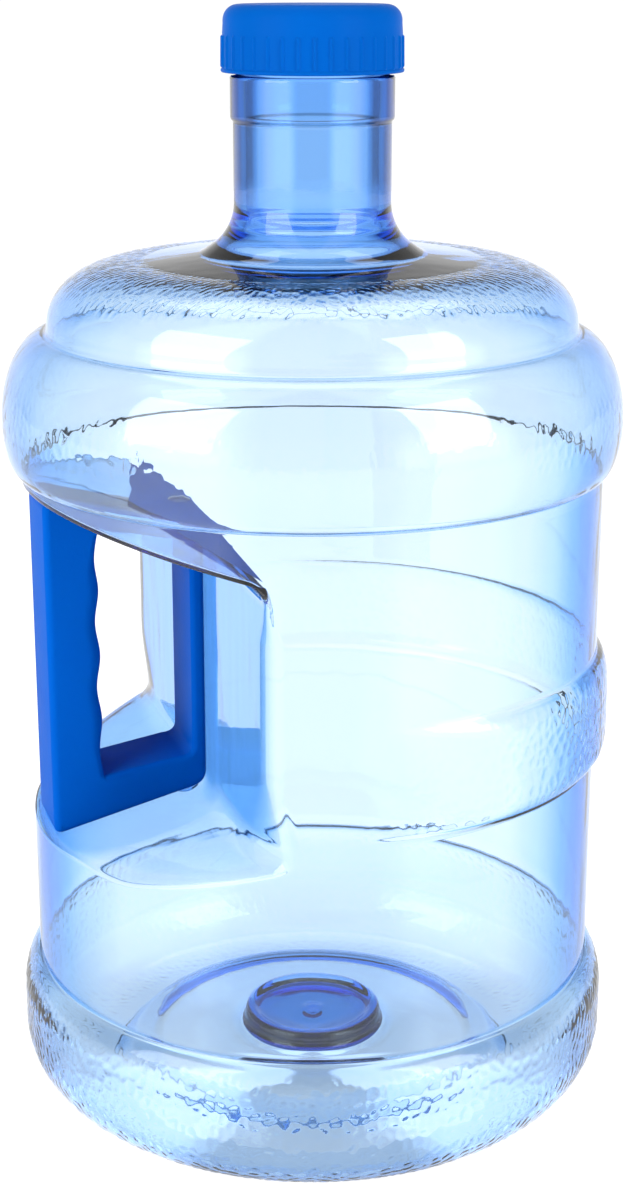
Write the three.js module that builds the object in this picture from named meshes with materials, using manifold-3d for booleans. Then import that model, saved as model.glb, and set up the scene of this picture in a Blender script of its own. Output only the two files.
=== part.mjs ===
// A blow-moulded water jug with a moulded carry handle set in a recess and a screw cap, in millimetres.
// Z is up, the origin is the middle of the base, and the handle is on the -X side.
// The jug, the handle, the cap and the cap's sealing disc are four separate solids.
import * as THREE from "three";
import { mergeVertices } from "three/addons/utils/BufferGeometryUtils.js";
import Module from "manifold-3d";

const wasm = await Module();
wasm.setup();

// ---- driving dimensions ----
const BODY_R = 100.9; // plain cylinder of the jug
const WALL = 1.2; // blown wall of the body
const HEEL_R = 106.85; // rolled ring round the base
const HEEL_ROUND = 24; // radius of its lower edge
const HEEL_TOP_Z = 50.5; // groove over the heel ring
const HEEL_GROOVE_R = 100.1;
const STAND_R = [74, HEEL_R - HEEL_ROUND]; // flat ring that the jug stands on
const DOME_R = 66.5; // raised middle of the base
const DOME_Z = [6.8, 12.5]; // its underside at the edge and in the middle
const DOME_WALL = 1.8;
const PUCK = { r: 25, z: 21 }; // thick disc left in the middle of the base
const RIB_Z = [129.3, 166]; // band round the middle, broken at the handle
const RIB_PROUD = 4.4;
const RIB_HALF_GAP = THREE.MathUtils.degToRad(77); // where the band stops, from the handle's middle
const LOWER_GROOVE_Z = 230.4; // under the big roll
const ROLL_R = 106.8;
const ROLL_MID_Z = 248;
const UPPER_GROOVE = { r: 90.7, z: 277.3 }; // between the roll and the shoulder
const SHOULDER = { r: 58, z: 300.8, power: 2.3 };
const THICK_R = 45; // the wall grows from here up into the neck
const NECK_R = 26.6;
const NECK_FOOT_Z = 320; // the neck's flare starts here
const FLARE = { r: 18, rise: 17.5, crease: [36.8, 303.9] }; // its hollow curve, and the crease at its foot
const BAND_R = 27.5; // thicker band under the cap
const BAND_Z = [347.1, 361.4];
const BORE_R = 22.4;
const RIM_R = 25.6; // wall that carries the thread
const RIM_Z = 380.4;

const RECESS_X = 43.5; // distance of the recess's flat back wall from the axis
const RECESS_Z = [120.5, 212.5]; // floor and ceiling at the back wall
const RECESS_SLOPE = 0.248; // they spread apart outwards
const RECESS_FILLET = 5;
const WEB = { x: 70, z: 219.7, reach: 89 }; // thick plastic over the recess's ceiling, thinning out sideways

const HANDLE_WIDTH = 28;
const HANDLE_GAP = 0.45; // round the handle in its recess
const GRIP_X = [79.4, 98]; // finger side and outer side of the grip
const STRAP_X = 48.2; // finger side of the strap on the back wall
const OPENING_Z = { strap: [131, 208.5], grip: [126.8, 213.6] };
const FINGER_PITCH = 23.4; // four dents, evenly spaced about the middle of the grip
const FINGER_DEPTH = 1.4;
const LUG = { x: 48.4, r: 4.2, bottom: 113.6, top: 219.2, foot: [128, 205] }; // keys the handle in the wall

const CAP_R = 30.4;
const CAP_Z = [362.3, 384];
const CAP_BORE_R = 27.6;
const CAP_PLATE = 1.9;
const KNURL_TOP_Z = 374.3;
const KNURLS = 36;
const LINER = { r: 27.1, z: [380.7, 381.8] };

const STARTS = 3; // thread
const PITCH = 4;
const LEAD = STARTS * PITCH;
const THREAD = {
  neck: { from: RIM_R - 0.5, crest: 26.9, z: 370.6 },
  cap: { from: CAP_BORE_R + 0.5, crest: 26.2, z: 368.6 },
  sweep: THREE.MathUtils.degToRad(130),
  half: [0.9, 0.4], // half height of the ridge at its root and its crest
};

const TURN_STEPS = 40;
const CAP_STEPS = 36;
const OVER = 1; // how far a cutter runs past what it cuts

// ---- helpers ----
const point = (x, y) => new THREE.Vector2(x, y);

// Points on an ellipse about (x, z), from one angle to another in degrees, with an optional roundness power.
function arc(x, z, a, b, from, to, steps, power = 2) {
  const curve = (v) => Math.sign(v) * Math.abs(v) ** (2 / power);
  return Array.from({ length: steps + 1 }, (_, i) => {
    const t = THREE.MathUtils.degToRad(from + ((to - from) * i) / steps);
    return point(x + a * curve(Math.cos(t)), z + b * curve(Math.sin(t)));
  });
}

function solid(geometry) {
  const bare = new THREE.BufferGeometry().setAttribute("position", geometry.getAttribute("position"));
  if (geometry.index) bare.setIndex(geometry.index);
  const merged = mergeVertices(bare, 1e-4);
  const mesh = new wasm.Mesh({
    numProp: 3,
    vertProperties: merged.attributes.position.array,
    triVerts: new Uint32Array(merged.index.array),
  });
  return new wasm.Manifold(mesh);
}

function geometry(made) {
  const { vertProperties, triVerts } = made.getMesh();
  const found = new THREE.BufferGeometry()
    .setAttribute("position", new THREE.BufferAttribute(vertProperties, 3))
    .setIndex(new THREE.BufferAttribute(triVerts, 1));
  found.computeVertexNormals();
  return found;
}

function turned(outline, steps = TURN_STEPS) {
  return solid(new THREE.LatheGeometry(outline, steps).rotateX(Math.PI / 2));
}

// An outline drawn as (distance towards the handle, height), made into a slab across Y.
function slab(shape, width, bevel = 0) {
  const made = new THREE.ExtrudeGeometry(shape, {
    depth: width - 2 * bevel,
    bevelEnabled: bevel > 0,
    bevelSize: bevel,
    bevelOffset: -bevel,
    bevelThickness: bevel,
    bevelSegments: 1,
    curveSegments: 6,
  });
  return solid(made.translate(0, 0, bevel - width / 2).rotateX(Math.PI / 2).rotateZ(Math.PI));
}

// The outline moved by a distance to its left-hand side as it is walked.
function offset(outline, distance) {
  return outline.map((p, i) => {
    const before = outline[Math.max(i - 1, 0)];
    const after = outline[Math.min(i + 1, outline.length - 1)];
    const along = point(after.x - before.x, after.y - before.y).normalize();
    return point(p.x - along.y * distance, p.y + along.x * distance);
  });
}

// A closed path with its corners rounded.
function roundedShape(corners, radii) {
  const shape = new THREE.Shape();
  corners.forEach((c, i) => {
    const n = corners.length;
    const r = radii[i];
    const towards = (other) => point(other.x - c.x, other.y - c.y).normalize().multiplyScalar(r).add(c);
    const a = towards(corners[(i + n - 1) % n]);
    const b = towards(corners[(i + 1) % n]);
    if (i === 0) shape.moveTo(a.x, a.y);
    else shape.lineTo(a.x, a.y);
    if (r > 0) shape.quadraticCurveTo(c.x, c.y, b.x, b.y);
  });
  shape.closePath();
  return shape;
}

// A ridge that climbs round the axis by the thread's lead.
function helix(ridge, start) {
  const steps = 18;
  const [root, crest] = THREAD.half;
  const section = [
    [ridge.from, -root],
    [ridge.crest, -crest],
    [ridge.crest, crest],
    [ridge.from, root],
  ];
  const places = [];
  for (let i = 0; i <= steps; i++) {
    const turn = THREAD.sweep * (i / steps);
    const z = ridge.z + (LEAD * turn) / (2 * Math.PI);
    for (const [r, up] of section) places.push(r * Math.cos(start + turn), r * Math.sin(start + turn), z + up);
  }
  const last = steps * 4;
  const faces = [0, 1, 2, 0, 2, 3, last, last + 2, last + 1, last, last + 3, last + 2];
  for (let i = 0; i < last; i += 4)
    for (let k = 0; k < 4; k++) {
      const [a, b] = [i + k, i + ((k + 1) % 4)];
      faces.push(a, a + 4, b, b, a + 4, b + 4);
    }
  const made = new THREE.BufferGeometry().setAttribute(
    "position",
    new THREE.BufferAttribute(new Float32Array(places), 3),
  );
  if (ridge.crest < ridge.from) faces.reverse(); // an inward ridge has its section drawn the other way round
  made.setIndex(faces);
  return solid(made);
}

function threads(ridge) {
  const each = Array.from({ length: STARTS }, (_, i) => helix(ridge, (2 * Math.PI * i) / STARTS));
  return each.reduce((made, one) => made.add(one));
}

// ---- jug ----
// The outside from the standing ring up to the foot of the neck.
function bodyOutline() {
  const grooveRise = LOWER_GROOVE_Z + 0.4;
  const rollFoot = ROLL_MID_Z - grooveRise;
  const rollWidth = ROLL_R - UPPER_GROOVE.r;
  const rollRise = UPPER_GROOVE.z - ROLL_MID_Z;
  const domeFoot = UPPER_GROOVE.z + 0.6;
  const domeWidth = UPPER_GROOVE.r - SHOULDER.r;
  return [
    ...arc(STAND_R[1], HEEL_ROUND, HEEL_ROUND, HEEL_ROUND, -90, 0, 4),
    ...arc(HEEL_GROOVE_R - 0.2, 37.5, HEEL_R - HEEL_GROOVE_R + 0.2, HEEL_TOP_Z - 37.5, 0, 90, 3),
    point(BODY_R, HEEL_TOP_Z + 3),
    point(BODY_R, LOWER_GROOVE_Z - 1),
    ...arc(BODY_R, ROLL_MID_Z, ROLL_R - BODY_R, rollFoot, -90, 0, 3),
    ...arc(UPPER_GROOVE.r, ROLL_MID_Z, rollWidth, rollRise, 0, 90, 5).slice(1),
    ...arc(SHOULDER.r, domeFoot, domeWidth, SHOULDER.z - domeFoot, 4, 90, 5, SHOULDER.power),
    point(...FLARE.crease),
    ...arc(NECK_R + FLARE.r, NECK_FOOT_Z, FLARE.r, FLARE.rise, -124, -180, 3),
  ];
}

// The raised middle of the base: its underside, from the axis out.
function domeOutline(lift = 0) {
  const rise = DOME_Z[1] - DOME_Z[0];
  return [0, 12, 24, 36, 48, 58, DOME_R].map((r) =>
    point(r, DOME_Z[1] + lift - rise * (r / DOME_R) ** 2),
  );
}

function jugOutside() {
  const finish = [
    point(NECK_R, BAND_Z[0] - 1),
    point(BAND_R, BAND_Z[0] + 0.4),
    point(BAND_R, BAND_Z[1] - 0.3),
    point(RIM_R, BAND_Z[1]),
    point(RIM_R, RIM_Z - 0.6),
    point(RIM_R - 0.6, RIM_Z),
    point(0, RIM_Z),
  ];
  return turned([...domeOutline(), point(STAND_R[0], 0), ...bodyOutline(), ...finish]);
}

// What the jug holds, open through the neck's bore.
function jugInside() {
  const { r, z } = PUCK;
  const puck = [point(0, z - 2.4), point(r - 5, z - 1.6), point(r - 1.2, z), point(r + 0.2, z - 1.4)];
  const slope = [point(r + 0.5, z - 5.8), point(r + 6, z - 7.6), point(r + 15, z - 8.6)];
  const dome = offset(domeOutline(), DOME_WALL).slice(4);
  const body = offset([point(STAND_R[0], 0), ...bodyOutline()], WALL).filter((p) => p.x > THICK_R);
  const neck = [point(BORE_R + 1.2, NECK_FOOT_Z - 15), point(BORE_R, NECK_FOOT_Z - 11)];
  const mouth = [point(BORE_R, RIM_Z + OVER), point(0, RIM_Z + OVER)];
  return turned([...puck, ...slope, ...dome, ...body, ...neck, ...mouth]);
}

// The band round the middle, as a solid ring of the given surface, without its gap at the handle.
function ribBand(proud, inset) {
  const middle = (RIB_Z[0] + RIB_Z[1]) / 2;
  const half = (RIB_Z[1] - RIB_Z[0]) / 2 - inset;
  const ring = [
    point(BODY_R - 6, middle - half),
    ...arc(BODY_R - WALL, middle, proud + WALL, half, -90, 90, 6, 2.6),
    point(BODY_R - 6, middle + half),
    point(BODY_R - 6, middle - half),
  ];
  const far = 200;
  const gap = RIB_HALF_GAP + inset / BODY_R;
  const end = point(-far * Math.cos(gap), far * Math.sin(gap));
  const corners = [point(0, 0), end, point(-far, far), point(-far, -far), point(end.x, -end.y)];
  const cutter = new THREE.ExtrudeGeometry(new THREE.Shape(corners), { depth: far, bevelEnabled: false });
  return turned(ring).subtract(solid(cutter.translate(0, 0, RIB_Z[0] - 50)));
}

// A round-ended peg on the handle, or the pocket for it. Up is 1 for the top one and -1 for the bottom one.
function lug(up, grow) {
  const r = LUG.r + grow;
  const foot = up > 0 ? LUG.foot[1] : -LUG.foot[0];
  const tip = (up > 0 ? LUG.top : -LUG.bottom) + grow;
  const outline = [point(0, foot), point(r, foot), ...arc(0, tip - r * 0.7, r, r * 0.7, 0, 90, 4)];
  const peg = new THREE.LatheGeometry(outline, 24).rotateX(up > 0 ? Math.PI / 2 : -Math.PI / 2);
  return solid(peg.translate(-LUG.x, 0, 0));
}

// The recess for the handle, open outwards and to both sides. Grow moves every face of it out.
function recess(grow = 0) {
  const far = 140;
  const spread = (x) => RECESS_SLOPE * (x - RECESS_X);
  const near = RECESS_X - grow;
  const lift = grow * Math.hypot(1, RECESS_SLOPE);
  const corners = [
    point(near, RECESS_Z[0] - lift - spread(near)),
    point(far, RECESS_Z[0] - lift - spread(far)),
    point(far, RECESS_Z[1] + lift + spread(far)),
    point(near, RECESS_Z[1] + lift + spread(near)),
  ];
  const fillet = RECESS_FILLET + grow;
  const block = slab(roundedShape(corners, [fillet, 0, 0, fillet]), 300);
  return [-1, 1].reduce((made, up) => made.add(lug(up, HANDLE_GAP + grow)), block);
}

// Flat-topped, deepest over the handle, and drawn out to a point on each side.
function ceilingWeb() {
  const back = -(RECESS_X - 0.9);
  const corner = [back, 0, RECESS_Z[1] - 1];
  const places = [...corner, back, 0, WEB.z, -WEB.x, 0, WEB.z];
  for (const side of [1, -1]) places.push(back, side * WEB.reach, RECESS_Z[1] + 1);
  const made = new THREE.BufferGeometry().setAttribute(
    "position",
    new THREE.BufferAttribute(new Float32Array(places), 3),
  );
  return solid(made.setIndex([1, 0, 3, 2, 1, 3, 0, 2, 3, 0, 1, 4, 1, 2, 4, 2, 0, 4]));
}

function jug() {
  const outside = jugOutside().add(ribBand(RIB_PROUD, 0)).subtract(recess());
  const hollow = jugInside().add(ribBand(RIB_PROUD - WALL, WALL));
  const inside = hollow.subtract(recess(WALL)).subtract(ceilingWeb());
  return outside.subtract(inside).add(threads(THREAD.neck));
}

// ---- handle ----
function handle() {
  const spread = (x) => RECESS_SLOPE * (x - RECESS_X);
  const back = RECESS_X + HANDLE_GAP;
  const low = (x) => RECESS_Z[0] - spread(x) + HANDLE_GAP;
  const high = (x) => RECESS_Z[1] + spread(x) - HANDLE_GAP;
  const front = GRIP_X[1];
  const corners = [
    point(back, low(back)),
    point(front, low(front)),
    point(front, high(front)),
    point(back, high(back)),
  ];
  const shape = roundedShape(corners, [RECESS_FILLET, 4, 4, RECESS_FILLET]);
  const hole = new THREE.Path();
  const [bottom, top] = OPENING_Z.grip;
  hole.moveTo(STRAP_X, OPENING_Z.strap[0] + 4);
  hole.quadraticCurveTo(STRAP_X, OPENING_Z.strap[0], STRAP_X + 5, OPENING_Z.strap[0]);
  const steps = 26;
  for (let i = 0; i <= steps; i++) {
    const up = (top - bottom) * (i / steps - 0.5);
    const dent = FINGER_DEPTH * Math.sin((Math.PI * up) / FINGER_PITCH) ** 2;
    hole.lineTo(GRIP_X[0] + dent, (top + bottom) / 2 + up);
  }
  hole.lineTo(STRAP_X + 5, OPENING_Z.strap[1]);
  hole.quadraticCurveTo(STRAP_X, OPENING_Z.strap[1], STRAP_X, OPENING_Z.strap[1] - 4);
  hole.closePath();
  shape.holes.push(hole);
  return [-1, 1].reduce((made, up) => made.add(lug(up, 0)), slab(shape, HANDLE_WIDTH, 1.5));
}

// ---- cap ----
function cap() {
  const dome = 29.8;
  const outline = [
    point(CAP_BORE_R, CAP_Z[0]),
    point(CAP_R - 0.3, CAP_Z[0]),
    point(CAP_R, CAP_Z[0] + 0.4),
    point(CAP_R - 0.2, KNURL_TOP_Z),
    point(dome, KNURL_TOP_Z + 0.3),
    ...arc(dome - 6.6, CAP_Z[1] - 6.4, 6.5, 6.4, 0, 90, 5),
    point(0, CAP_Z[1]),
    point(0, CAP_Z[1] - CAP_PLATE),
    point(CAP_BORE_R, CAP_Z[1] - CAP_PLATE),
    point(CAP_BORE_R, CAP_Z[0]),
  ];
  const rib = new THREE.BoxGeometry(1, 0.7, KNURL_TOP_Z - CAP_Z[0] - 1.4);
  const ribs = Array.from({ length: KNURLS }, (_, i) =>
    solid(
      rib
        .clone()
        .translate(CAP_R - 0.25, 0, (KNURL_TOP_Z + CAP_Z[0]) / 2)
        .rotateZ((2 * Math.PI * (i + 0.5)) / KNURLS),
    ),
  );
  return ribs.reduce((made, one) => made.add(one), turned(outline, CAP_STEPS)).add(threads(THREAD.cap));
}

function capLiner() {
  const [low, high] = LINER.z;
  return turned([point(0, low), point(LINER.r, low), point(LINER.r, high), point(0, high)]);
}

// ---- assembly ----
const jugPlastic = new THREE.MeshStandardMaterial({
  color: 0x9cc8f5, roughness: 0.08, metalness: 0, transparent: true, opacity: 0.4,
});
const handlePlastic = new THREE.MeshStandardMaterial({ color: 0x0062d1, roughness: 0.4, metalness: 0 });
const capPlastic = new THREE.MeshStandardMaterial({ color: 0x0068d8, roughness: 0.35, metalness: 0 });
const linerFoam = new THREE.MeshStandardMaterial({ color: 0xf2f4f5, roughness: 0.8, metalness: 0 });

function named(name, made, material) {
  const mesh = new THREE.Mesh(geometry(made), material);
  mesh.name = name;
  return mesh;
}

const waterJug = new THREE.Group();
const closure = new THREE.Group();
closure.add(named("cap", cap(), capPlastic), named("cap_liner", capLiner(), linerFoam));
waterJug.add(named("bottle", jug(), jugPlastic), named("handle", handle(), handlePlastic), closure);
export default waterJug;
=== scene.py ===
"""The looks of a clear blue water jug with a moulded-in handle and a screw cap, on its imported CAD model.

Lengths in this script are millimetres until mesh_object() turns them into metres.
"""

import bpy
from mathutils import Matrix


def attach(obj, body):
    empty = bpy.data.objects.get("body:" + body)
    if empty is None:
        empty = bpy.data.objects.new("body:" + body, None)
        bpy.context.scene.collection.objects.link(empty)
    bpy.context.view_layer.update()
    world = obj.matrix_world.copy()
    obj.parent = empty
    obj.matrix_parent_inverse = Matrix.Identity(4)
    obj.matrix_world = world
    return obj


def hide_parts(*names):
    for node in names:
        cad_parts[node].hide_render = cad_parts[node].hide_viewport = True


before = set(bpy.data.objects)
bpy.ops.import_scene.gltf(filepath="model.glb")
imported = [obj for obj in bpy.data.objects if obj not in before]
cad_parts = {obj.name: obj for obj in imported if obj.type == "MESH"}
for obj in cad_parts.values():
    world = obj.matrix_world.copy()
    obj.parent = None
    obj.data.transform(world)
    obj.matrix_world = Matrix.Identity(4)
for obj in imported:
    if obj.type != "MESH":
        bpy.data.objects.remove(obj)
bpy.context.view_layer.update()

import math

import bpy
import numpy as np
from mathutils import Vector
from mathutils.geometry import tessellate_polygon

MM = 0.001
HANDLE_ANGLE = math.pi  # the handle is on the -X side

# ---- the jug's outside ----
BODY_R = 100.9
HEEL_R, HEEL_ROUND = 106.85, 24
HEEL_GROOVE = (100.1, 50.5)  # (radius, height)
STAND_R = (74, HEEL_R - HEEL_ROUND)
DOME_R, DOME_Z = 66.5, (6.8, 12.5)  # raised middle of the base: its edge and its centre, from below
DOME_WALL = (1.8, 3.0)  # in the middle, and at its rim
PUCK_R, PUCK_Z = 25, 21  # thick disc left in the middle of the base
CORE_INSET = {"under": 1.6, "over": 3.2, "round": 1.4}  # plastic between the disc's skin and its blue core
RIB_Z, RIB_PROUD = (129.3, 166), 4.4
RIB_HALF_GAP = math.radians(80)  # where the band starts, from the handle's middle
RIB_FADE = 60  # the length over which it rises
ROLL_Z, ROLL_R = (230.4, 248), 106.8
UPPER_GROOVE = (90.7, 277.3)
SHOULDER = (58, 300.8)
NECK_R, NECK_FOOT_Z = 26.6, 320
FLARE, FLARE_CREASE = (18, 17.5), (36.8, 303.9)
BAND_R, BAND_Z = 27.5, (347.1, 361.4)
RIM_R, RIM_Z, BORE_R = 25.6, 380.4, 22.4
BODY_WALL, HEEL_WALL, NECK_WALL = 1.2, 1.9, 4.2

# ---- the recess for the handle: heights at its flat back wall, which spread apart outwards ----
RECESS_X, RECESS_Z, RECESS_SLOPE = 43.5, (120.5, 212.5), 0.248
RECESS_FILLET, SIDE_FILLET = 5.0, 9.0  # behind the handle, and out at the recess's sides
SIDES_START = (math.radians(17), math.radians(38))  # angle from the handle's middle
EDGE_SOFT = {"handle": 4.0, "wall": 10.0, "floor": 26.0}  # how gently the recess runs out into the body
WEB_Z, WEB_REACH = 217.6, 89  # thick plastic over the recess's ceiling, thinning out sideways
PLATE_X, PLATE_Z, PLATE_REACH = 66, (214.5, 219.8), 88  # the handle's plate, its top clear of that plastic
PLATE_EDGE = 0.4  # how far its back is outside the recess's back wall, and how much its thin edges are raised
LUG_X, LUG_R, LUG_Z = 48.4, 4.2, (113.6, 219.2)
LUG_FOOT = (127, 206)  # where the lower and the upper lug start inside the handle

# ---- the handle ----
HANDLE_WIDTH, HANDLE_GAP = 28, 0.45
STRAP_EDGE = 1.9  # rounding of the strap's edges
FINGER_EDGE, PALM_EDGE = 4.5, 7.0  # rounding of the grip's edges, inside and outside
SUPPORT_RING = 1.12  # a ring this much further in than the rounding keeps the handle's sides flat
GRIP_CORNER = 4  # rounding of the loop's outer corners at the grip
HANDLE_BOND = -0.2  # the handle's skin sits this far into the wall that is moulded on to it
GRIP_X, STRAP_X = (79.4, 98), 48.2
OPENING_Z = {"strap": (131, 208.5), "grip": (126.8, 213.6)}
FINGER_PITCH, FINGER_DEPTH = 23.4, 1.4

# ---- the cap ----
CAP_R, CAP_Z, CAP_BORE_R, CAP_PLATE = 30.4, (362.3, 384), 27.6, 1.9
KNURL_Z, KNURLS = (363.6, 374.3), 36
LINER_R, LINER_Z = 27.1, (380.7, 381.8)

# ---- the thread: three ridges that climb 12 mm a turn ----
STARTS, LEAD, SWEEP = 3, 12, math.radians(130)
NECK_THREAD = {"root": RIM_R - 0.5, "crest": 26.9, "z": 370.6}
CAP_THREAD = {"root": CAP_BORE_R + 0.5, "crest": 26.2, "z": 368.6}
RIDGE_HALF = (0.9, 0.4)  # half height at the root and at the crest

# ---- surface texture and fineness ----
CELL = (3.6, 4.4)  # one pebble of the hammered texture, round the jug and along its outline
CREASE = {"heel": 0.18, "band": 0.16, "roll": 0.06, "dome": 0.10}  # depth between the pebbles
COLUMNS = 864
SEED = 7


# ---------------------------------------------------------------- outlines
def arc(x, z, a, b, start, end, power=2.0, steps=160):
    """Points on an ellipse about (x, z) between two angles in degrees; power squares it up."""
    t = np.radians(np.linspace(start, end, steps))
    across, up = np.cos(t), np.sin(t)
    squared = [np.sign(v) * np.abs(v) ** (2 / power) for v in (across, up)]
    return np.stack([x + a * squared[0], z + b * squared[1]], 1)


def line(*points):
    return np.array(points, float)


def paced(outline, step):
    """The outline walked again with the spacing that step(r, z) gives, keeping its two ends."""
    dense = [outline[:1]]
    for a, b in zip(outline[:-1], outline[1:]):
        n = max(1, int(np.linalg.norm(b - a) / 0.05))
        dense.append(a + (b - a) * (np.arange(1, n + 1) / n)[:, None])
    dense = np.concatenate(dense)
    length = np.linalg.norm(np.diff(dense, axis=0), axis=1)
    middle = (dense[1:] + dense[:-1]) / 2
    walked = np.concatenate([[0], np.cumsum(length / step(middle[:, 0], middle[:, 1]))])
    stops = np.linspace(0, walked[-1], int(walked[-1]) + 2)
    return np.stack([np.interp(stops, walked, dense[:, k]) for k in (0, 1)], 1)


def normals(outline):
    """Unit normals to the left-hand side of the outline as it is walked."""
    along = np.gradient(outline, axis=0)
    along /= np.linalg.norm(along, axis=1)[:, None] + 1e-9
    return np.stack([-along[:, 1], along[:, 0]], 1)


def smooth(t):
    t = np.clip(t, 0, 1)
    return t * t * (3 - 2 * t)


def soft_min(a, b, k):
    h = np.clip(0.5 + 0.5 * (b - a) / k, 0, 1)
    return b + (a - b) * h - k * h * (1 - h)


# ---------------------------------------------------------------- meshes
def mesh_object(name, points, faces, material, body, node, sharp=None):
    """A smooth-shaded piece from points in millimetres, standing for one CAD node."""
    mesh = bpy.data.meshes.new(name)
    mesh.from_pydata((np.asarray(points) * MM).tolist(), [], faces)
    mesh.polygons.foreach_set("use_smooth", np.ones(len(mesh.polygons), bool))
    if sharp:
        mesh.set_sharp_from_angle(angle=math.radians(sharp))
    mesh.materials.append(material)
    piece = bpy.data.objects.new(name, mesh)
    bpy.context.scene.collection.objects.link(piece)
    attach(piece, body)
    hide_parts(node)
    return piece


def turned(rows, columns, shape):
    """Points and faces of an outline turned about the axis. Both its ends are on the axis.

    shape(r, z, theta) gives the three coordinates of each point of the grid.
    """
    theta = np.arange(columns) * 2 * math.pi / columns
    r, t = np.meshgrid(rows[1:-1, 0], theta, indexing="ij")
    z = np.repeat(rows[1:-1, 1:], columns, 1)
    grid = np.stack(shape(r, z, t), -1).reshape(-1, 3)
    points = np.concatenate([[[0, 0, rows[0, 1]]], grid, [[0, 0, rows[-1, 1]]]])
    i = np.arange(columns)
    j = (i + 1) % columns
    start = 1 + columns * np.arange(len(rows) - 3)[:, None]
    corners = [start + i, start + j, start + j + columns, start + i + columns]
    quads = np.stack(corners, -1).reshape(-1, 4)
    top = 1 + columns * (len(rows) - 3)
    ends = [(0, int(b) + 1, int(a) + 1) for a, b in zip(i, j)]
    ends += [(len(points) - 1, top + int(a), top + int(b)) for a, b in zip(i, j)]
    return points, quads.tolist() + ends


def around(r, t):
    return r * np.cos(t), r * np.sin(t)


# ---------------------------------------------------------------- hammered texture
def dimples(u, v, cells_round):
    """Rounded pebbles with creases between them, 0 to 1. u is in cells round the jug, v in cells along it."""
    random = np.random.default_rng(SEED)
    rows = 128
    jitter = random.random((rows, cells_round, 2))
    near = np.full(u.shape, 9.0)
    second = near.copy()
    cu, cv = np.floor(u).astype(int), np.floor(v).astype(int)
    for du in (-1, 0, 1):
        for dv in (-1, 0, 1):
            seed = jitter[(cv + dv) % rows, (cu + du) % cells_round]
            d = np.hypot(cu + du + seed[..., 0] - u, cv + dv + seed[..., 1] - v)
            second = np.minimum(second, np.maximum(near, d))
            near = np.minimum(near, d)
    return smooth((second - near) / 0.55)


# ---------------------------------------------------------------- the jug
def body_outline():
    """From the flat standing ring up to the foot of the neck."""
    groove_r, groove_z = HEEL_GROOVE
    low, middle = ROLL_Z
    top_r, top_z = UPPER_GROOVE
    dome_r, dome_z = SHOULDER
    return np.concatenate([
        arc(STAND_R[1], HEEL_ROUND, HEEL_ROUND, HEEL_ROUND, -90, 0),
        arc(groove_r, 37.5, HEEL_R - groove_r, groove_z - 37.5, 0, 89, 1.8),
        line((groove_r, groove_z + 0.3), (BODY_R - 0.2, groove_z + 2.5), (BODY_R, groove_z + 5)),
        line((BODY_R, low - 4), (BODY_R - 0.25, low - 0.2)),
        arc(BODY_R - 0.1, middle, ROLL_R - BODY_R + 0.1, middle - low, -88, 0),
        arc(top_r, middle, ROLL_R - top_r, top_z - middle, 0, 88),
        arc(dome_r, top_z + 0.7, top_r - dome_r, dome_z - top_z - 0.7, 3, 90, 2.3),
        line((FLARE_CREASE[0] + 1.6, FLARE_CREASE[1] - 0.9), FLARE_CREASE),
        arc(NECK_R + FLARE[0], NECK_FOOT_Z, *FLARE, -124, -180),
    ])


def base_outline():
    r = np.linspace(0, DOME_R, 60)
    nub = 1.1 * smooth((3.4 - r) / 1.2)
    well = 0.9 * smooth((27.5 - r) / 1.6)
    return np.stack([r, DOME_Z[1] - (DOME_Z[1] - DOME_Z[0]) * (r / DOME_R) ** 2 + well - nub], 1)


def finish_outline():
    """The neck's band, and the wall under the cap that carries the thread."""
    return line(
        (NECK_R, BAND_Z[0] - 0.5), (BAND_R - 0.2, BAND_Z[0]), (BAND_R, BAND_Z[0] + 0.5),
        (BAND_R, BAND_Z[1] - 0.5), (BAND_R - 0.5, BAND_Z[1]), (RIM_R, BAND_Z[1]),
        (RIM_R, RIM_Z - 0.7), (RIM_R - 0.25, RIM_Z - 0.2), (RIM_R - 0.8, RIM_Z),
    )


def wall(r, z):
    """Thickness of the blown wall: thin on the body, growing over the shoulder into the thick neck."""
    over = np.interp(r, [33, 37, 50, 84], [NECK_WALL, 3.2, 2.0, BODY_WALL])
    under = BODY_WALL + (HEEL_WALL - BODY_WALL) * smooth((46 - z) / 10)
    return np.where(z > 290, over, under)


def inside_outline():
    """The surface that holds the water, from the rim down to the middle of the base."""
    outside = np.concatenate([line((STAND_R[0], 0)), body_outline()])
    inner = outside + normals(outside) * wall(outside[:, 0], outside[:, 1])[:, None]
    inner = inner[(outside[:, 0] > NECK_R + 5)]
    dome = base_outline()[:, :1]
    under = DOME_Z[1] - (DOME_Z[1] - DOME_Z[0]) * (dome / DOME_R) ** 2
    thick = DOME_WALL[0] + (DOME_WALL[1] - DOME_WALL[0]) * smooth((dome - 56) / 6)
    floor = np.concatenate([dome, under + thick], 1)[dome[:, 0] > PUCK_R + 17]
    r, z = PUCK_R, PUCK_Z
    puck = np.concatenate([
        line((0, z - 1.5), (2.4, z - 1.6), (3.6, z - 2.5), (r - 13, z - 2.6)),
        line((r - 5, z - 1.6), (r - 3.6, z - 0.3)),
        arc(r - 1.6, z - 1.6, 1.8, 1.6, 90, 0),
        line((r + 0.5, z - 4.8), (r + 1.4, z - 5.9), (r + 6, z - 7.6), (r + 15, z - 8.6)),
    ])
    neck = line((BORE_R, RIM_Z - 0.6), (BORE_R, NECK_FOOT_Z - 6), (BORE_R + 1.2, NECK_FOOT_Z - 10))
    upward = np.concatenate([puck, floor, inner])
    return np.concatenate([line((RIM_R - 2.4, RIM_Z)), neck, upward[::-1]])


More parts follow.
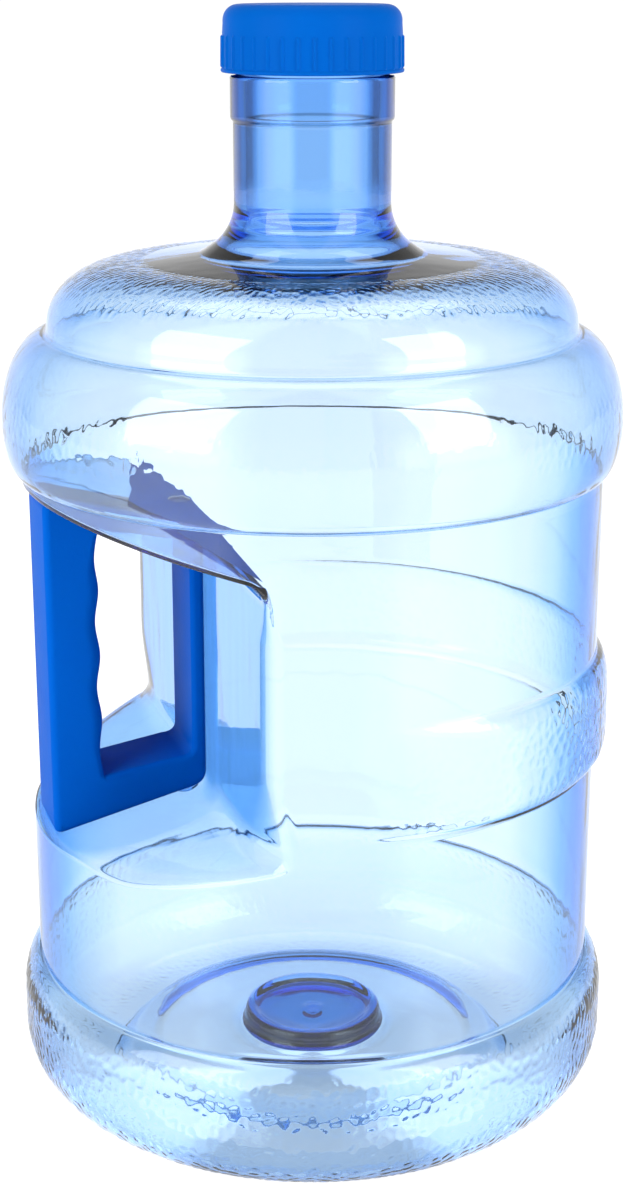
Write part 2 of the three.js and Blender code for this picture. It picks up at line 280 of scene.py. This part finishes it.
def recess_depth(z, grow, fillet):
    """How far the recess's surface is from the axis at each height, before it meets the round body."""
    near = RECESS_X - grow
    lift = grow * math.hypot(1, RECESS_SLOPE) - RECESS_SLOPE * grow
    bend = math.pi / 2 - math.atan(RECESS_SLOPE)
    far = 200
    sides = []
    for corner, up in ((RECESS_Z[0] - lift, -1), (RECESS_Z[1] + lift, 1)):
        sweep = np.linspace(0, bend, 24)
        start = corner - up * math.tan(bend / 2) * (fillet + grow)
        s = np.append(near + (fillet + grow) * (1 - np.cos(sweep)), far)
        rounded_part = start + up * (fillet + grow) * np.sin(sweep)
        heights = np.append(rounded_part, corner + up * RECESS_SLOPE * (far - near))
        sides.append((heights, s))
    (low_z, low_s), (high_z, high_s) = sides
    heights = np.concatenate([low_z[::-1], high_z])
    return np.interp(z, heights, np.concatenate([low_s[::-1], high_s]))


def rib(z, t):
    """How far the band round the middle stands out: a rounded bar that fades either side of the handle."""
    away = np.abs((t - HANDLE_ANGLE + math.pi) % (2 * math.pi) - math.pi)
    end = (away - RIB_HALF_GAP) * BODY_R
    top, bottom = (RIB_Z[1] - z) / 9.0, (z - RIB_Z[0]) / 6.5
    edge = np.clip(np.minimum(top, bottom), 0, 1)
    lean = 1 - 0.16 * np.clip((z - 150) / 16, 0, 1)
    return RIB_PROUD * lean * np.sqrt(1 - (1 - edge) ** 2) * smooth(end / RIB_FADE)


def ridge(thread, z, t):
    """Radius of the thread's ridges at a height and angle, and the root's radius between them."""
    best = np.zeros_like(z)
    for start in range(STARTS):
        turn = (t - 2 * math.pi * start / STARTS) % (2 * math.pi)
        off = np.abs(z - thread["z"] - LEAD * turn / (2 * math.pi))
        up = np.clip((RIDGE_HALF[0] - off) / (RIDGE_HALF[0] - RIDGE_HALF[1]), 0, 1)
        ends = smooth(turn / 0.12) * smooth((SWEEP - turn) / 0.12)
        best = np.maximum(best, up * ends)
    return thread["root"] + (thread["crest"] - thread["root"]) * best


def over_lugs(x, y, z, grow):
    """The pockets for the handle's two round lugs, raised in the recess's ceiling and sunk in its floor."""
    away = np.hypot(x + LUG_X, y)
    r = LUG_R + HANDLE_GAP + grow
    round_end = 0.7 * r * np.sqrt(np.clip(1 - (away / r) ** 2, 0, 1))
    inside = away < r
    top = LUG_Z[1] + HANDLE_GAP + grow - 0.7 * r + round_end
    bottom = LUG_Z[0] - HANDLE_GAP - grow + 0.7 * r - round_end
    z = np.where(inside & (z > 200) & (z < 230), np.maximum(z, top), z)
    return np.where(inside & (z > 100) & (z < 135), np.minimum(z, bottom), z)


def creases(r, z, t, along):
    """How deep the texture is sunk between its pebbles, on the heel, the band, the roll and the shoulder."""
    cells_round = round(2 * math.pi * BODY_R / CELL[0])
    between = 1 - dimples(t / (2 * math.pi) * cells_round, along / CELL[1], cells_round)
    heel = CREASE["heel"] * smooth((r - 80) / 4) * smooth((48 - z) / 3)
    band = CREASE["band"] * np.clip(rib(z, t) / RIB_PROUD, 0, 1)
    roll = CREASE["roll"] * smooth((z - 241) / 6) * smooth((265 - z) / 7)
    dome = CREASE["dome"] * smooth((z - 288) / 9) * smooth((r - 56) / 3)
    return between * np.maximum(np.maximum(heel, band), np.maximum(roll, dome))


def webbed(x, y, z):
    """Heights over the recess's ceiling with the web filled in: level outwards, and lower to each side."""
    thin = RECESS_Z[1] + BODY_WALL
    level = WEB_Z - (WEB_Z - thin) * np.abs(y) / WEB_REACH
    over = smooth((BODY_WALL - RECESS_X - x) / 2) * (z > 205) * (z < 232)
    return z + over * np.clip(level - z, 0, None)


def outside_step(r, z):
    step = np.full_like(z, 0.8)
    step = np.where((z > 52) & (z < 104), 2.0, step)
    step = np.where((z > 104) & (z < 123), 0.32, step)
    step = np.where((z > 211.6) & (z < 216), 0.16, step)
    step = np.where((z > 216) & (z < 231), 0.32, step)
    step = np.where((z > 367) & (r > 24), 0.3, step)
    return np.where((z < 25) & (r < 70), 1.1, step)


def inside_step(r, z):
    step = np.full_like(z, 1.6)
    step = np.where((z > 104) & (z < 123), 0.4, step)
    step = np.where((z > 211.6) & (z < 216.5), 0.2, step)
    step = np.where((z > 216) & (z < 230), 0.4, step)
    return np.where(z > 290, 1.0, step)


def jug_surface(r, z, t, grow):
    """Points of the outer surface, or of the inner one when grow is the wall, from the plain outline's."""
    away = (t - HANDLE_ANGLE + math.pi) % (2 * math.pi) - math.pi
    on_body = (z > 60) & (z < 235) & (r > 90)
    r = np.where(on_body, r + rib(z, t), r)
    start, end = SIDES_START
    beside = smooth((np.abs(away) - start) / (end - start))
    behind_handle = recess_depth(z, grow, RECESS_FILLET)
    at_sides = recess_depth(z, grow, SIDE_FILLET)
    cut = (behind_handle + (at_sides - behind_handle) * beside) / np.maximum(np.cos(away), 0.05)
    open_edge = EDGE_SOFT["wall"] + (EDGE_SOFT["floor"] - EDGE_SOFT["wall"]) * smooth((150 - z) / 30)
    soft = EDGE_SOFT["handle"] + (open_edge - EDGE_SOFT["handle"]) * beside * smooth((205 - z) / 12)
    r = np.where(on_body, soft_min(r, cut, soft), r)
    x, y = around(r, t)
    return x, y, over_lugs(x, y, z, grow)


def jug(material):
    outline = np.concatenate([base_outline(), line((STAND_R[0], 0)), body_outline(), finish_outline()])
    outer = paced(outline, outside_step)
    inner = paced(inside_outline(), inside_step)
    rows = np.concatenate([outer, inner])
    along = np.concatenate([[0], np.cumsum(np.linalg.norm(np.diff(rows, axis=0), axis=1))])
    inwards = normals(rows)
    count = len(outer) - 1

    def shape(r, z, t):
        is_out = (np.arange(len(r)) < count)[:, None]
        threaded = is_out & (z > BAND_Z[1] + 1.5) & (z < RIM_Z - 0.9) & (r > 25)
        ridged = np.where(threaded, np.maximum(r, ridge(NECK_THREAD, z, t)), r)
        outer_points = jug_surface(ridged, z, t, 0)
        x, y, inner_z = jug_surface(ridged, z, t, BODY_WALL)
        inner_points = x, y, webbed(x, y, inner_z)
        x, y, z2 = (np.where(is_out, a, b) for a, b in zip(outer_points, inner_points))
        sunk = creases(r, z, t, np.repeat(along[1:-1, None], r.shape[1], 1)) * is_out
        over, up = inwards[1:-1, :1], inwards[1:-1, 1:]
        return x + sunk * over * np.cos(t), y + sunk * over * np.sin(t), z2 + sunk * up

    points, faces = turned(rows, COLUMNS, shape)
    return mesh_object("jug_shell", points, faces, material, "jug", "bottle")


def puck_core(material):
    """The middle of the thick disc in the base, where the blue is deepest."""
    low, high = DOME_Z[1] + CORE_INSET["under"], PUCK_Z - CORE_INSET["over"]
    r = PUCK_R - CORE_INSET["round"]
    outline = paced(line((0, low), (r, low), (r, high), (0, high)), lambda r, z: np.full_like(r, 1.0))
    points, faces = turned(outline, 96, lambda r, z, t: (*around(r, t), z))
    return mesh_object("puck_core", points, faces, material, "jug", "bottle", 40)


# ---------------------------------------------------------------- the handle
def quadratic(a, b, c, steps):
    """Points on the quadratic curve from a to c that b pulls towards itself."""
    u = np.linspace(0, 1, steps)[:, None]
    return (1 - u) ** 2 * np.array(a) + 2 * u * (1 - u) * np.array(b) + u ** 2 * np.array(c)


def rounded(corners, radii, steps=10):
    """A closed loop with its corners rounded by quadratic curves."""
    loop = []
    n = len(corners)
    for k in range(n):
        c, before, after = (np.array(corners[(k + m) % n], float) for m in (0, -1, 1))
        a = c + (before - c) / np.linalg.norm(before - c) * radii[k]
        b = c + (after - c) / np.linalg.norm(after - c) * radii[k]
        loop.append(quadratic(a, c, b, steps))
    return np.concatenate(loop)


def handle_end(x, up):
    """Height of the handle's top (up is 1) or bottom (up is -1) at a distance from the axis."""
    return RECESS_Z[up > 0] + up * (RECESS_SLOPE * (x - RECESS_X) - HANDLE_BOND)


def handle_loops():
    back, front = RECESS_X + HANDLE_BOND, GRIP_X[1]
    corners = [(back, handle_end(back, -1)), (front, handle_end(front, -1)),
               (front, handle_end(front, 1)), (back, handle_end(back, 1))]
    outer = rounded(corners, [RECESS_FILLET, GRIP_CORNER, GRIP_CORNER, RECESS_FILLET])
    (strap_low, strap_high), (grip_low, grip_high) = OPENING_Z["strap"], OPENING_Z["grip"]
    up = (grip_high - grip_low) * np.linspace(-0.5, 0.5, 121)
    dents = FINGER_DEPTH * np.sin(math.pi * up / FINGER_PITCH) ** 2
    fingers = np.stack([GRIP_X[0] + dents, (grip_high + grip_low) / 2 + up], 1)
    low_bend = quadratic((STRAP_X, strap_low + 4), (STRAP_X, strap_low), (STRAP_X + 5, strap_low), 12)
    high_bend = quadratic((STRAP_X + 5, strap_high), (STRAP_X, strap_high), (STRAP_X, strap_high - 4), 12)
    hole = np.concatenate([low_bend, fingers, high_bend])
    return outer, hole[::-1]


def without_doubles(loop):
    keep = np.linalg.norm(loop - np.roll(loop, 1, 0), axis=1) > 0.02
    return loop[keep]


def inset(loop, distance):
    """The closed loop moved to its left-hand side, by a distance for each point."""
    before, after = np.roll(loop, 1, 0), np.roll(loop, -1, 0)
    along = after - before
    along /= np.linalg.norm(along, axis=1)[:, None]
    return loop + distance[:, None] * np.stack([-along[:, 1], along[:, 0]], 1)


def edge_radius(loop, grip_edge):
    """Rounding at each point of the handle's outline: small on the strap, fuller along the grip."""
    from_ends = np.minimum(loop[:, 1] - loop[:, 1].min(), loop[:, 1].max() - loop[:, 1])
    fullness = smooth((loop[:, 0] - 56) / 20) * (0.1 + 0.9 * smooth((from_ends - 5) / 12))
    return STRAP_EDGE + (grip_edge - STRAP_EDGE) * fullness


def flat_sides(caps):
    """Faces of the handle's two flat sides, each between its outer ring and the ring of its opening."""
    faces = []
    for level, rings in caps.items():
        order = [first + i for first, ring in rings for i in range(len(ring))]
        flat = tessellate_polygon([[Vector((p[0], p[1], 0)) for p in ring] for _, ring in rings])
        faces += [tuple(order[i] for i in (f if level else f[::-1])) for f in flat]
    return faces


def handle(material):
    loops = [without_doubles(loop) for loop in handle_loops()]
    half = HANDLE_WIDTH / 2
    turn = np.radians(np.linspace(0, 90, 10))
    levels = [(SUPPORT_RING, 0, 1)] + [(1 - math.sin(a), 1 - math.cos(a), 1) for a in turn]
    levels = levels + [(d, drop, -1) for d, drop, _ in reversed(levels)]
    points, faces = [], []
    caps = {0: [], len(levels) - 1: []}
    for loop, grip_edge in zip(loops, (PALM_EDGE, FINGER_EDGE)):
        n = len(loop)
        start = len(points)
        edge = edge_radius(loop, grip_edge)
        for k, (distance, drop, side) in enumerate(levels):
            ring = inset(loop, distance * edge)
            if k in caps:
                caps[k].append((len(points), ring))
            points += [(-s, side * (half - drop * e), z) for (s, z), e in zip(ring, edge)]
        for k in range(len(levels) - 1):
            for i in range(n):
                a, b = start + k * n + i, start + k * n + (i + 1) % n
                faces.append((a, a + n, b + n, b))
    first_flat = len(faces)
    faces += flat_sides(caps)
    piece = mesh_object("handle_moulding", points, faces, material, "jug", "handle", 35)
    for face in piece.data.polygons[first_flat:]:
        face.use_smooth = False
    for other in (plate(), lug(1, LUG_FOOT[1]), lug(-1, -LUG_FOOT[0])):
        join(piece, other)
    return piece


def plate():
    """A thin plate sunk in the wall over the handle, with a point at each side."""
    back = -RECESS_X - PLATE_EDGE
    low, high = PLATE_Z
    front_z = low + RECESS_SLOPE * (PLATE_X - RECESS_X) + PLATE_EDGE
    tips = [(back, side * PLATE_REACH, low + PLATE_EDGE) for side in (1, -1)]
    points = [(back, 0, low), (back, 0, high), (-PLATE_X, 0, front_z), *tips]
    mesh = bpy.data.meshes.new("plate")
    faces = [(1, 0, 3), (2, 1, 3), (0, 2, 3), (0, 1, 4), (1, 2, 4), (2, 0, 4)]
    mesh.from_pydata((np.array(points) * MM).tolist(), [], faces)
    made = bpy.data.objects.new("plate", mesh)
    bpy.context.scene.collection.objects.link(made)
    return made


def lug(up, foot):
    """A round-ended peg that keys the handle into the wall, drawn upwards and turned over if up is -1."""
    tip = LUG_Z[1] if up > 0 else -LUG_Z[0]
    outline = np.concatenate([line((0, foot), (LUG_R, foot), (LUG_R, tip - 0.8 * LUG_R)),
                              arc(0, tip - 0.8 * LUG_R, LUG_R, 0.8 * LUG_R, 0, 90, steps=16)])
    points, faces = turned(outline, 48, lambda r, z, t: (*around(r, t), z))
    points[:, 2] *= up
    points[:, 1] *= up
    mesh = bpy.data.meshes.new("lug")
    mesh.from_pydata(((points - [LUG_X, 0, 0]) * MM).tolist(), [], faces)
    mesh.polygons.foreach_set("use_smooth", np.ones(len(mesh.polygons), bool))
    made = bpy.data.objects.new("lug", mesh)
    bpy.context.scene.collection.objects.link(made)
    return made


def join(piece, other):
    """piece becomes one solid with other, which is removed."""
    union = piece.modifiers.new("union", "BOOLEAN")
    union.operation, union.solver, union.object = "UNION", "EXACT", other
    bpy.context.view_layer.update()
    whole = bpy.data.meshes.new_from_object(piece.evaluated_get(bpy.context.evaluated_depsgraph_get()))
    piece.modifiers.clear()
    piece.data = whole
    bpy.data.objects.remove(other)


# ---------------------------------------------------------------- the cap
def cap(material):
    low, high = CAP_Z
    outer = np.concatenate([
        line((CAP_BORE_R, low + 0.4), (CAP_BORE_R + 0.4, low), (CAP_R - 0.5, low)),
        arc(CAP_R - 0.5, low + 0.5, 0.5, 0.5, -90, 0, steps=12),
        line((CAP_R, low + 1.0), (CAP_R - 0.45, low + 1.4), (CAP_R - 0.6, KNURL_Z[1] - 0.3)),
        line((29.8, KNURL_Z[1] + 0.5), (29.6, high - 6)),
        arc(29.6 - 5.6, high - 5.4, 5.6, 5.4, 0, 90, 2.15, steps=60),
        line((20, high), (0, high)),
    ])
    roof = high - CAP_PLATE
    inner = line((0, roof), (CAP_BORE_R - 0.6, roof), (CAP_BORE_R, roof - 0.6), (CAP_BORE_R, low + 0.4))
    whole = np.concatenate([inner, outer[1:]])
    rows = paced(whole, lambda r, z: np.where(r < 26, 1.2, 0.28))

    def shape(r, z, t):
        skirt = smooth((z - KNURL_Z[0]) / 0.6) * smooth((KNURL_Z[1] - z) / 0.6) * (r > 28.6)
        phase = (t * KNURLS / (2 * math.pi) + 0.13) % 1 - 0.5
        rib_height = 0.55 * smooth((0.12 - np.abs(phase)) / 0.06)
        r = r + skirt * rib_height
        bore = (r < CAP_BORE_R + 0.01) & (r > CAP_BORE_R - 0.02)
        r = np.where(bore, np.minimum(r, ridge(CAP_THREAD, z, t)), r)
        return (*around(r, t), z)

    points, faces = turned(rows, 720, shape)
    return mesh_object("screw_cap", points, faces, material, "cap", "cap")


def liner(material):
    low, high = LINER_Z
    outline = np.concatenate([
        line((0, low), (LINER_R - 0.35, low)),
        arc(LINER_R - 0.35, (low + high) / 2, 0.35, (high - low) / 2, -90, 90, steps=12),
        line((LINER_R - 0.35, high), (0, high)),
    ])
    rows = paced(outline, lambda r, z: np.full_like(r, 0.5))

    def rings(r, z, t):
        ripple = 0.08 * np.cos(r * 2.2) * (z < low + 0.2) * smooth((25 - r) / 3)
        return (*around(r, t), z + ripple)

    points, faces = turned(rows, 180, rings)
    return mesh_object("sealing_disc", points, faces, material, "liner", "cap_liner")


# ---------------------------------------------------------------- materials
def new_material(name):
    material = bpy.data.materials.new(name)
    material.use_nodes = True
    nodes = material.node_tree.nodes
    return material, nodes, material.node_tree.links, nodes["Principled BSDF"]


def noise(nodes, links, scale, detail=3.0, stretch=None):
    where = nodes.new("ShaderNodeTexCoord").outputs["Object"]
    texture = nodes.new("ShaderNodeTexNoise")
    texture.inputs["Scale"].default_value = scale
    texture.inputs["Detail"].default_value = detail
    if stretch:
        mapping = nodes.new("ShaderNodeMapping")
        mapping.inputs["Scale"].default_value = stretch
        links.new(where, mapping.inputs["Vector"])
        where = mapping.outputs["Vector"]
    links.new(where, texture.inputs["Vector"])
    return texture.outputs["Fac"]


def ramp(nodes, links, source, low, high, start=0.0, end=1.0):
    made = nodes.new("ShaderNodeMapRange")
    for name, value in zip(("From Min", "From Max", "To Min", "To Max"), (start, end, low, high)):
        made.inputs[name].default_value = value
    links.new(source, made.inputs["Value"])
    return made.outputs["Result"]


def bump(nodes, links, source, distance, strength):
    made = nodes.new("ShaderNodeBump")
    made.inputs["Distance"].default_value = distance
    made.inputs["Strength"].default_value = strength
    links.new(source, made.inputs["Height"])
    return made.outputs["Normal"]


def mixed(nodes, links, factor, first, second):
    mix = nodes.new("ShaderNodeMix")
    mix.data_type = "RGBA"
    for name, source in (("Factor", factor), ("A", first), ("B", second)):
        links.new(source, mix.inputs[name])
    return mix.outputs["Result"]


def product(nodes, links, first, second):
    made = nodes.new("ShaderNodeMath")
    made.operation = "MULTIPLY"
    links.new(first, made.inputs[0])
    links.new(second, made.inputs[1])
    return made.outputs["Value"]


def blend_colours(nodes, links, source, first, second):
    mix = nodes.new("ShaderNodeMix")
    mix.data_type = "RGBA"
    mix.inputs["A"].default_value = (*first, 1)
    mix.inputs["B"].default_value = (*second, 1)
    links.new(source, mix.inputs["Factor"])
    return mix.outputs["Result"]


def colour_stops(nodes, links, source, stops):
    made = nodes.new("ShaderNodeValToRGB")
    elements = made.color_ramp.elements
    while len(elements) < len(stops):
        elements.new(1)
    for element, (place, colour) in zip(elements, stops):
        element.position, element.color = place, (*colour, 1)
    links.new(source, made.inputs["Fac"])
    return made.outputs["Color"]


# What the plastic lets through, and how densely it takes the rest away, in the wall and in the base's core.
BLUE, BLUE_DENSITY = (0.03, 0.54, 0.98, 1), 188
CORE_BLUE, CORE_DENSITY = (0.02, 0.74, 0.91, 1), 900
# Painted edge shade: the plastic's colour turns bluer and darker where its surface turns away from the view,
# on the plain wall, the textured wall and the neck.
PLAIN_EDGE_SHADE = [
    (0.36, (1.0, 1.0, 1.0)), (0.48, (0.70, 0.87, 1.0)), (0.60, (0.24, 0.56, 0.98)),
    (0.72, (0.06, 0.32, 0.97)), (1.0, (0.01, 0.18, 0.85)),
]
TEXTURED_EDGE_SHADE = [
    (0.30, (1.0, 1.0, 1.0)), (0.50, (0.84, 0.93, 1.0)), (0.70, (0.42, 0.65, 1.0)),
    (0.85, (0.25, 0.50, 1.0)), (1.0, (0.12, 0.38, 0.97)),
]
NECK_EDGE_SHADE = [
    (0.40, (1.0, 1.0, 1.0)), (0.47, (0.25, 0.42, 0.62)), (0.58, (0.08, 0.10, 0.16)),
    (0.75, (0.05, 0.07, 0.12)), (1.0, (0.03, 0.06, 0.14)),
]
PLAIN_Z = (0.047, 0.053, 0.226, 0.233)  # metres: the plain wall fades in and out between these
NECK_Z = (0.302, 0.328)  # metres: the neck's painted dark edge shade fades in between these


def painted_edge_shade(nodes, links):
    """Painted edge shade in the plastic's colour, with a ramp of its own for the textured wall, the plain
    wall and the neck.
    """
    facing = nodes.new("ShaderNodeLayerWeight").outputs["Facing"]
    height = nodes.new("ShaderNodeSeparateXYZ")
    links.new(nodes.new("ShaderNodeTexCoord").outputs["Object"], height.inputs["Vector"])
    rising = ramp(nodes, links, height.outputs["Z"], 0, 1, *PLAIN_Z[:2])
    falling = ramp(nodes, links, height.outputs["Z"], 1, 0, *PLAIN_Z[2:])
    in_neck = ramp(nodes, links, height.outputs["Z"], 0, 1, *NECK_Z)
    textured, plain, neck = (
        colour_stops(nodes, links, facing, stops) for stops in (TEXTURED_EDGE_SHADE, PLAIN_EDGE_SHADE, NECK_EDGE_SHADE)
    )
    wall_edge_shade = mixed(nodes, links, product(nodes, links, rising, falling), textured, plain)
    return mixed(nodes, links, in_neck, wall_edge_shade, neck)


def absorb(nodes, links, colour, density):
    volume = nodes.new("ShaderNodeVolumeAbsorption")
    volume.inputs["Color"].default_value = colour
    volume.inputs["Density"].default_value = density
    links.new(volume.outputs["Volume"], nodes["Material Output"].inputs["Volume"])


def clear_blue():
    """Polished blown plastic. Its blue comes from the depth of plastic that light goes through, with painted
    shade in its colour that turns it bluer and darker towards its edges as seen.
    """
    material, nodes, links, shader = new_material("clear_blue_plastic")
    # painted edge shade in the base colour: bluer and darker where the wall faces away from the view
    links.new(painted_edge_shade(nodes, links), shader.inputs["Base Color"])
    shader.inputs["Transmission Weight"].default_value = 1
    shader.inputs["IOR"].default_value = 1.55
    shader.inputs["Roughness"].default_value = 0.02
    waves = noise(nodes, links, 38, 2.0, (1, 1, 0.35))
    links.new(bump(nodes, links, waves, 0.0012, 0.25), shader.inputs["Normal"])
    absorb(nodes, links, BLUE, BLUE_DENSITY)
    return material


def deep_blue_core():
    """Light goes into the core without bending, and is only absorbed."""
    material, nodes, links, shader = new_material("deep_blue_core")
    nodes.remove(shader)
    clear = nodes.new("ShaderNodeBsdfTransparent")
    links.new(clear.outputs["BSDF"], nodes["Material Output"].inputs["Surface"])
    absorb(nodes, links, CORE_BLUE, CORE_DENSITY)
    return material


def moulded(name, deep, bright, roughness):
    """Opaque moulded plastic: faint flow shading in the colour, a fine grain and uneven gloss."""
    material, nodes, links, shader = new_material(name)
    flow = noise(nodes, links, 14, 4.0, (1, 1, 0.4))
    colour = blend_colours(nodes, links, ramp(nodes, links, flow, 0, 1, 0.35, 0.65), deep, bright)
    links.new(colour, shader.inputs["Base Color"])
    grain = noise(nodes, links, 900, 2.0)
    gloss = ramp(nodes, links, noise(nodes, links, 60, 3.0), roughness - 0.06, roughness + 0.08)
    links.new(gloss, shader.inputs["Roughness"])
    links.new(bump(nodes, links, grain, 0.0002, 0.35), shader.inputs["Normal"])
    shader.inputs["IOR"].default_value = 1.35
    shader.inputs["Specular IOR Level"].default_value = 0.02
    shader.inputs["Subsurface Weight"].default_value = 0.12
    shader.inputs["Subsurface Radius"].default_value = (0.001, 0.002, 0.004)
    return material


def foam():
    material, nodes, links, shader = new_material("liner_foam")
    cells = noise(nodes, links, 700, 4.0)
    colour = blend_colours(nodes, links, cells, (0.78, 0.80, 0.82), (0.92, 0.93, 0.94))
    links.new(colour, shader.inputs["Base Color"])
    links.new(bump(nodes, links, cells, 0.0004, 0.5), shader.inputs["Normal"])
    shader.inputs["Roughness"].default_value = 0.75
    return material


# ---------------------------------------------------------------- the studio
CAMERA_AWAY, CAMERA_HEIGHT = 0.7063, 0.395  # metres from the jug's axis, and over the floor
CAMERA_AZIMUTH, CAMERA_PITCH, CAMERA_LENS = -17.7, 16.745, 63.0


def camera():
    data = bpy.data.cameras.new("camera")
    data.lens, data.sensor_width = CAMERA_LENS, 36
    data.clip_start = 0.01
    made = bpy.data.objects.new("camera", data)
    bpy.context.scene.collection.objects.link(made)
    turn = math.radians(CAMERA_AZIMUTH)
    made.location = (math.sin(turn) * CAMERA_AWAY, -math.cos(turn) * CAMERA_AWAY, CAMERA_HEIGHT)
    made.rotation_euler = (math.radians(90 - CAMERA_PITCH), 0, turn)
    bpy.context.scene.camera = made


def softbox(name, azimuth, elevation, away, size, power, target=(0, 0, 0.2)):
    data = bpy.data.lights.new(name, "AREA")
    data.shape = "RECTANGLE"
    data.size, data.size_y = size
    data.energy = power
    made = bpy.data.objects.new(name, data)
    bpy.context.scene.collection.objects.link(made)
    a, e = math.radians(azimuth), math.radians(elevation)
    direction = Vector((math.sin(a) * math.cos(e), -math.cos(a) * math.cos(e), math.sin(e)))
    made.location = Vector(target) + direction * away
    made.rotation_euler = direction.to_track_quat("Z", "Y").to_euler()
    return made


# The light round the jug: (degrees from straight behind it, strength). White behind, dim at the sides,
# and a bright strip either side of the camera that shows as a tall soft band in the plastic.
LIGHT_PLAN = [(0, 1.1), (38, 1.1), (55, 0.5), (100, 0.45), (112, 2.2), (146, 2.2), (156, 0.22), (180, 0.22)]
LIGHT_MOST = 2.2
BACKDROP, FLOOR_SEEN = 1.04, 0.95  # strength of the studio's white, where the camera sees it directly
SKY_ABOVE = 0.38  # strength of the sky overhead
FLOOR_GLOW = (0.58, 1.35)  # the floor's light on the jug, at the plan's darkest and brightest
# name, degrees from the camera, degrees up, metres away, size in metres, watts
SOFTBOXES = [
    ("left", -52, 26, 1.5, (0.95, 1.1), 9),
    ("right", 52, 26, 1.5, (0.7, 1.1), 8),
    ("overhead", 180, 70, 2.6, (2.2, 1.6), 18),
]


def light_plan(nodes, links, place):
    """The plan's strength in the level direction of a vector."""
    turn = math.radians(CAMERA_AZIMUTH)
    level = nodes.new("ShaderNodeVectorMath")
    level.operation = "MULTIPLY"
    level.inputs[1].default_value = (1, 1, 0)
    links.new(place, level.inputs[0])
    unit = nodes.new("ShaderNodeVectorMath")
    unit.operation = "NORMALIZE"
    links.new(level.outputs["Vector"], unit.inputs[0])
    behind = nodes.new("ShaderNodeVectorMath")
    behind.operation = "DOT_PRODUCT"
    behind.inputs[1].default_value = (-math.sin(turn), math.cos(turn), 0)
    links.new(unit.outputs["Vector"], behind.inputs[0])
    share = ramp(nodes, links, behind.outputs["Value"], 0, 1, 1, -1)
    stops = [((1 - math.cos(math.radians(a))) / 2, [v / LIGHT_MOST] * 3) for a, v in LIGHT_PLAN]
    return ramp(nodes, links, colour_stops(nodes, links, share, stops), 0, LIGHT_MOST)


def seen_directly(nodes, links, around_jug, plain):
    """around_jug for light that reaches the jug, and plain where the camera sees the studio itself."""
    mix = nodes.new("ShaderNodeMix")
    links.new(nodes.new("ShaderNodeLightPath").outputs["Is Camera Ray"], mix.inputs["Factor"])
    links.new(around_jug, mix.inputs["A"])
    mix.inputs["B"].default_value = plain
    return mix.outputs["Result"]


def sky():
    """White at the horizon and dimmer above, so that what the lamps light stands out."""
    world = bpy.data.worlds.new("studio")
    world.use_nodes = True
    nodes, links = world.node_tree.nodes, world.node_tree.links
    direction = nodes.new("ShaderNodeTexCoord").outputs["Generated"]
    height = nodes.new("ShaderNodeSeparateXYZ")
    links.new(direction, height.inputs["Vector"])
    fade = ramp(nodes, links, height.outputs["Z"], BACKDROP, SKY_ABOVE, 0.06, 0.4)
    both = product(nodes, links, fade, light_plan(nodes, links, direction))
    strength = seen_directly(nodes, links, both, BACKDROP)
    links.new(strength, nodes["Background"].inputs["Strength"])
    nodes["Background"].inputs["Color"].default_value = (1, 1, 1, 1)
    bpy.context.scene.world = world


def studio_floor():
    material, nodes, links, shader = new_material("pale_floor")
    shader.inputs["Base Color"].default_value = (0.35, 0.35, 0.35, 1)
    shader.inputs["Roughness"].default_value = 0.9
    shader.inputs["Emission Color"].default_value = (1, 1, 1, 1)
    plan = light_plan(nodes, links, nodes.new("ShaderNodeTexCoord").outputs["Object"])
    glow = ramp(nodes, links, plan, *FLOOR_GLOW, 0, LIGHT_MOST)
    links.new(seen_directly(nodes, links, glow, FLOOR_SEEN), shader.inputs["Emission Strength"])
    bpy.ops.mesh.primitive_circle_add(vertices=128, radius=3.2, fill_type="NGON", location=(0, 0, -0.0002))
    floor = bpy.context.object
    floor.name = "studio_floor"
    floor.data.materials.append(material)


def studio():
    sky()
    studio_floor()
    for name, beside, *rest in SOFTBOXES:
        softbox(name, CAMERA_AZIMUTH + beside, *rest)


bpy.context.scene.view_settings.view_transform = "Standard"
camera()
studio()
jug(clear_blue())
puck_core(deep_blue_core())
handle(moulded("handle_plastic", (0.0, 0.10, 0.56), (0.0, 0.125, 0.64), 0.42))
cap(moulded("cap_plastic", (0.0005, 0.105, 0.50), (0.001, 0.12, 0.55), 0.34))
liner(foam())
